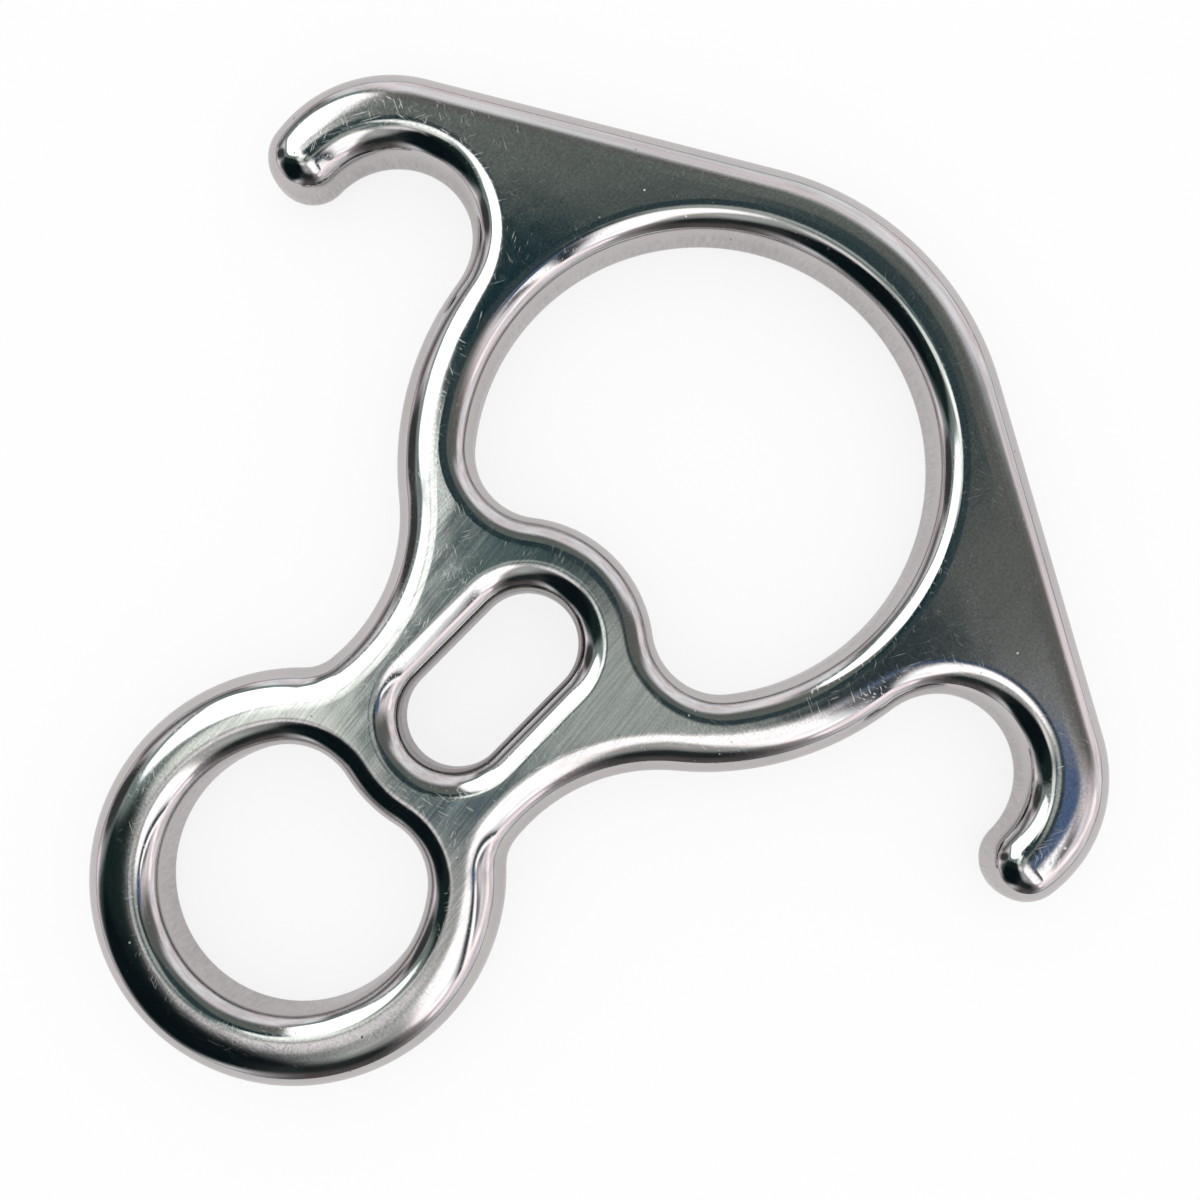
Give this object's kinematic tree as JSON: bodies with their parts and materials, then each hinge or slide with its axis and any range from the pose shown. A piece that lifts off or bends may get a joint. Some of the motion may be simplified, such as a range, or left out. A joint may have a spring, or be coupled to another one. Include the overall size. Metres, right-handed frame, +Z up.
{
  "type": "rescue figure eight descender",
  "caption": "Flat one-piece steel descender: large rope ring with a hooked ear each side, slotted neck and small carabiner eye, all rims rolled.",
  "frame": {"origin": "centre of the footprint at the back face, lying flat", "axes": "+X across the ears, +Y along the middle line from the small eye to the large ring, +Z up through the plate"},
  "size_m": [0.1804, 0.18, 0.014],
  "materials": {
    "polished_stainless": "mirror polished stainless steel, faint diagonal brushing on the flats"
  },
  "bodies": {
    "root": {"descender_body": "polished_stainless"}
  },
  "joints": []
}
